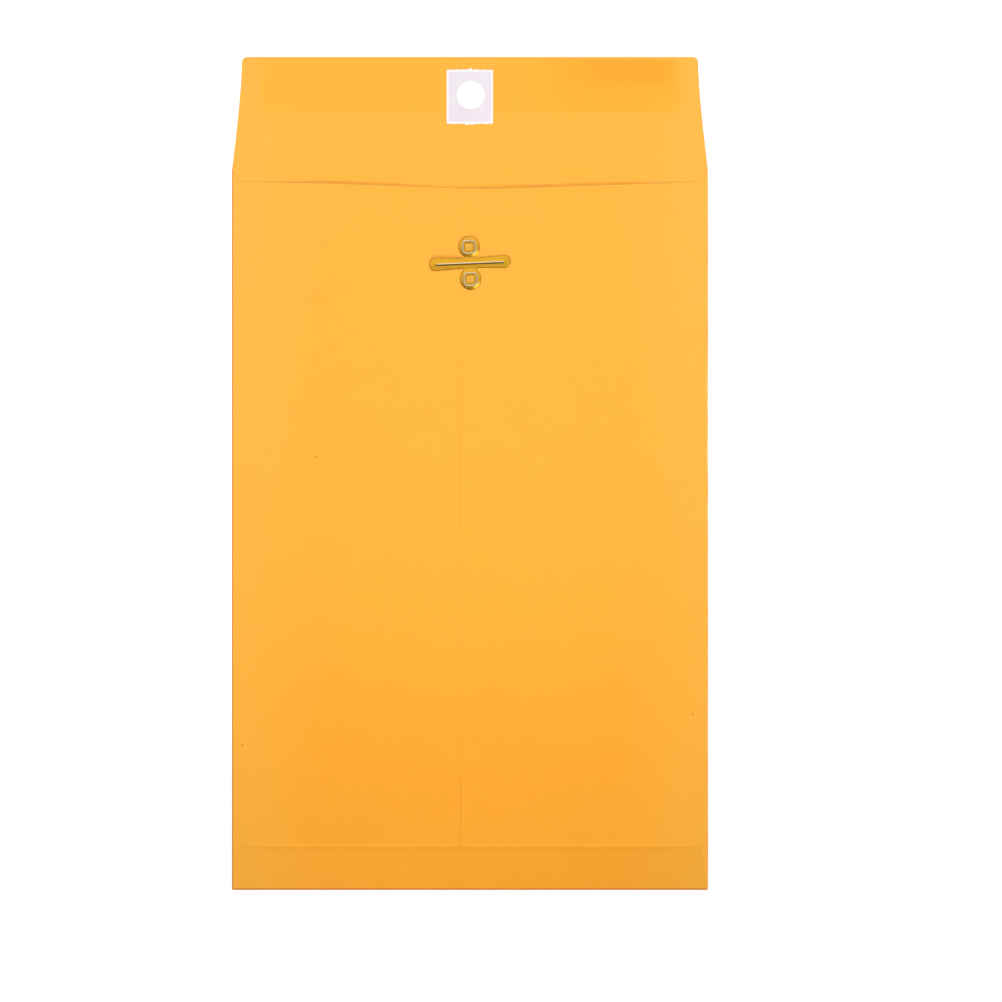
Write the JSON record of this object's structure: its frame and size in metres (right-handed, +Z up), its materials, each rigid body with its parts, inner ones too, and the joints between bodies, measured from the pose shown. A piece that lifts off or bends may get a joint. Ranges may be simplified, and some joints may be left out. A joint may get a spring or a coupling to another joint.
{
  "type": "clasp envelope",
  "caption": "Gold kraft clasp envelope, open end up: folded paper pocket, tapered gummed flap with a patched clasp hole, and a stamped metal clasp with prongs that bend up.",
  "frame": {"origin": "on the table, under the middle of the open envelope's whole width and length", "axes": "+X across the envelope, +Y from the bottom fold to the closure flap, +Z up from the table, which is the way out of the clasp side"},
  "size_m": [0.1524, 0.2666, 0.0014],
  "materials": {
    "kraft_paper": "matte",
    "dried_gum": "satin",
    "adhesive": "matte",
    "patch_paper": "matte",
    "clasp_metal": "satin"
  },
  "bodies": {
    "envelope_front": {"front_panel": "kraft_paper", "left_side_fold": "kraft_paper", "right_side_fold": "kraft_paper", "bottom_fold": "kraft_paper"},
    "back_wall": {"left_side_panel": "kraft_paper", "right_side_panel": "kraft_paper", "seam_adhesive": "adhesive", "bottom_flap": "kraft_paper", "bottom_adhesive": "adhesive", "clasp_base": "clasp_metal"},
    "flap": {"closure_flap": "kraft_paper", "gum_strip_left": "dried_gum", "gum_strip_right": "dried_gum", "reinforcement_patch": "patch_paper"},
    "left_prong": {"clasp_prong_left": "clasp_metal"},
    "right_prong": {"clasp_prong_right": "clasp_metal"}
  },
  "joints": [
    {"name": "flap_fold", "type": "hinge", "parent": "envelope_front", "child": "flap", "pos_m": [0, 0.0942, 0.00091], "axis": [1, 0, 0], "range_deg": [0, 180]},
    {"name": "pocket_mouth", "type": "hinge", "parent": "envelope_front", "child": "back_wall", "pos_m": [0, -0.13273, 0.00057], "axis": [-1, 0, 0], "range_deg": [-5, 0], "stiffness_Nm_per_rad": 0.02},
    {"name": "left_prong_bend", "type": "hinge", "parent": "back_wall", "child": "left_prong", "pos_m": [-0.00244, 0.0672, 0.00108], "axis": [-0.0419, 0.9991, 0], "range_deg": [0, 90]},
    {"name": "right_prong_bend", "type": "hinge", "parent": "back_wall", "child": "right_prong", "pos_m": [0.00236, 0.0674, 0.00108], "axis": [0.0419, -0.9991, 0], "range_deg": [0, 90]}
  ]
}
